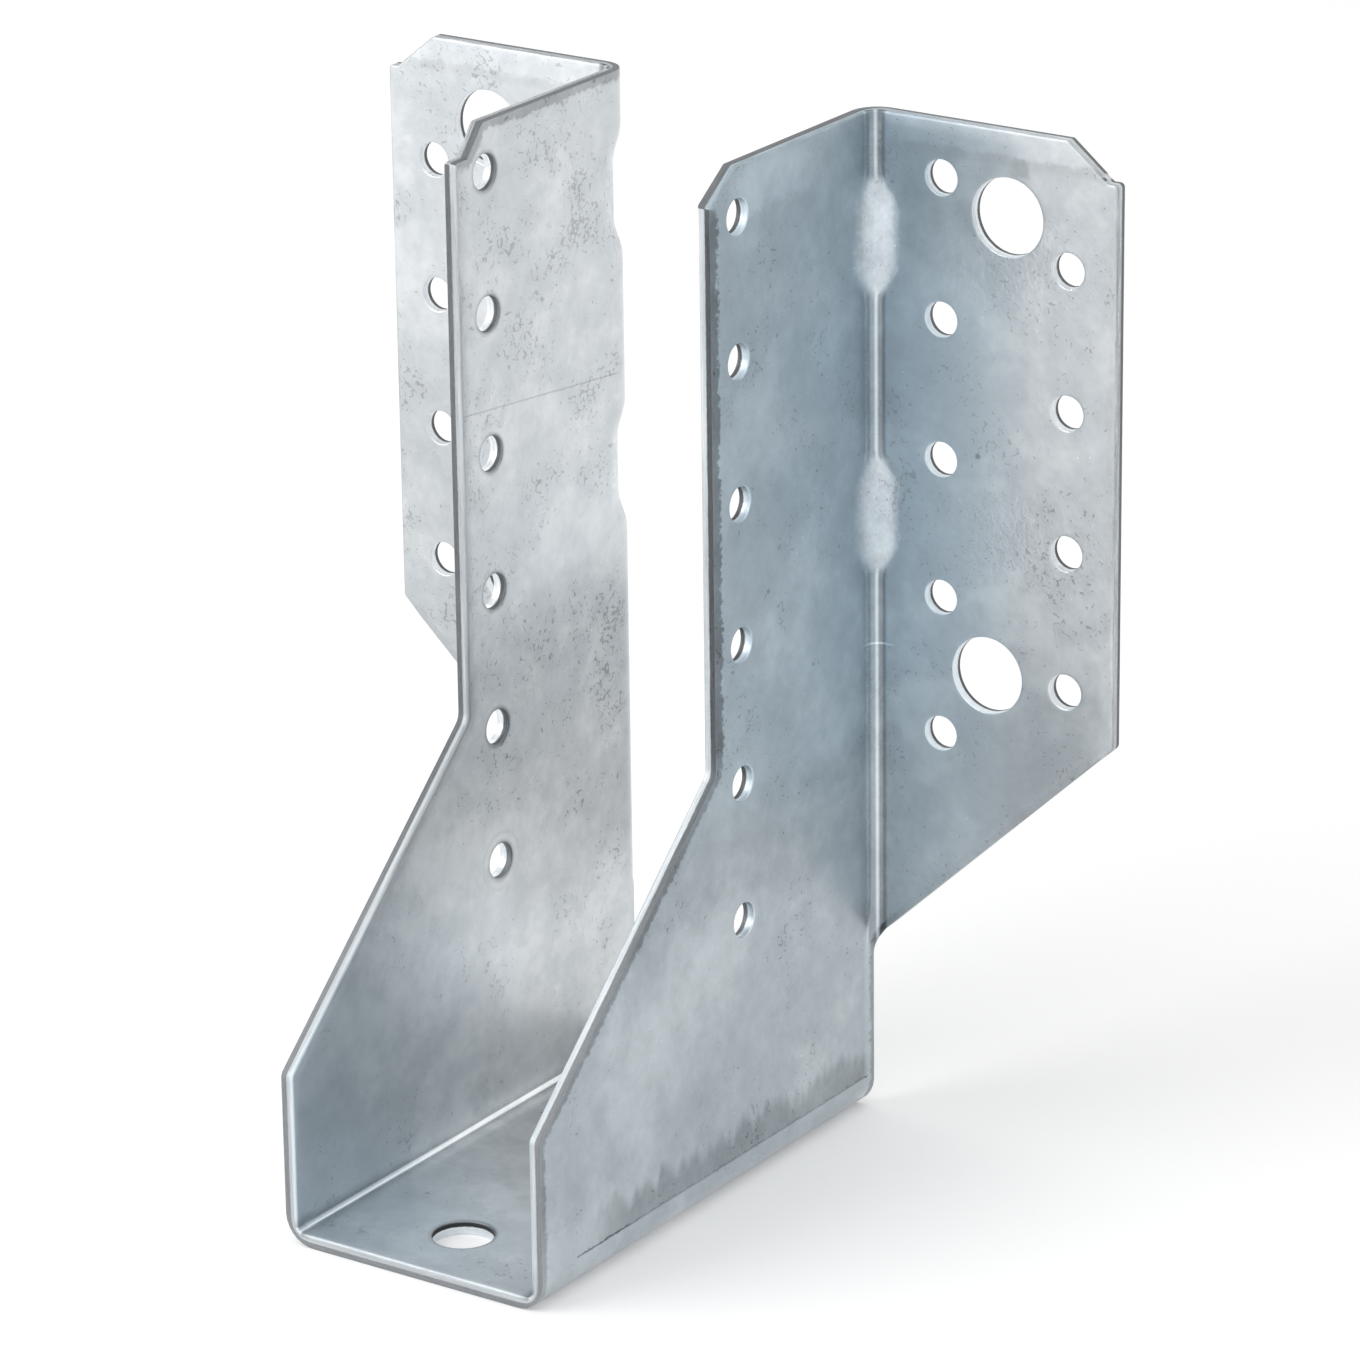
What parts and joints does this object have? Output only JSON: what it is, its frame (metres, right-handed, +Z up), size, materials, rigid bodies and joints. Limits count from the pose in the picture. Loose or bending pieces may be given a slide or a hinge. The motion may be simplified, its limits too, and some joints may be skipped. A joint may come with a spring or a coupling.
{
  "type": "joist hanger",
  "caption": "Face-fixed joist hanger folded from galvanised sheet: a U-shaped stirrup for a joist end, with two nail flanges that turn outward against the header beam.",
  "frame": {"origin": "bottom centre of the box around the part: on the seat's underside, midway between the walls and midway between the seat's front edge and the header face", "axes": "+Z up along the walls, +Y towards the header beam, +X to the right as seen from the joist"},
  "size_m": [0.12, 0.084, 0.147],
  "materials": {
    "galvanised_steel": "galvanised, satin, faintly mottled"
  },
  "bodies": {
    "root": {"hanger": "galvanised_steel"}
  },
  "joints": []
}
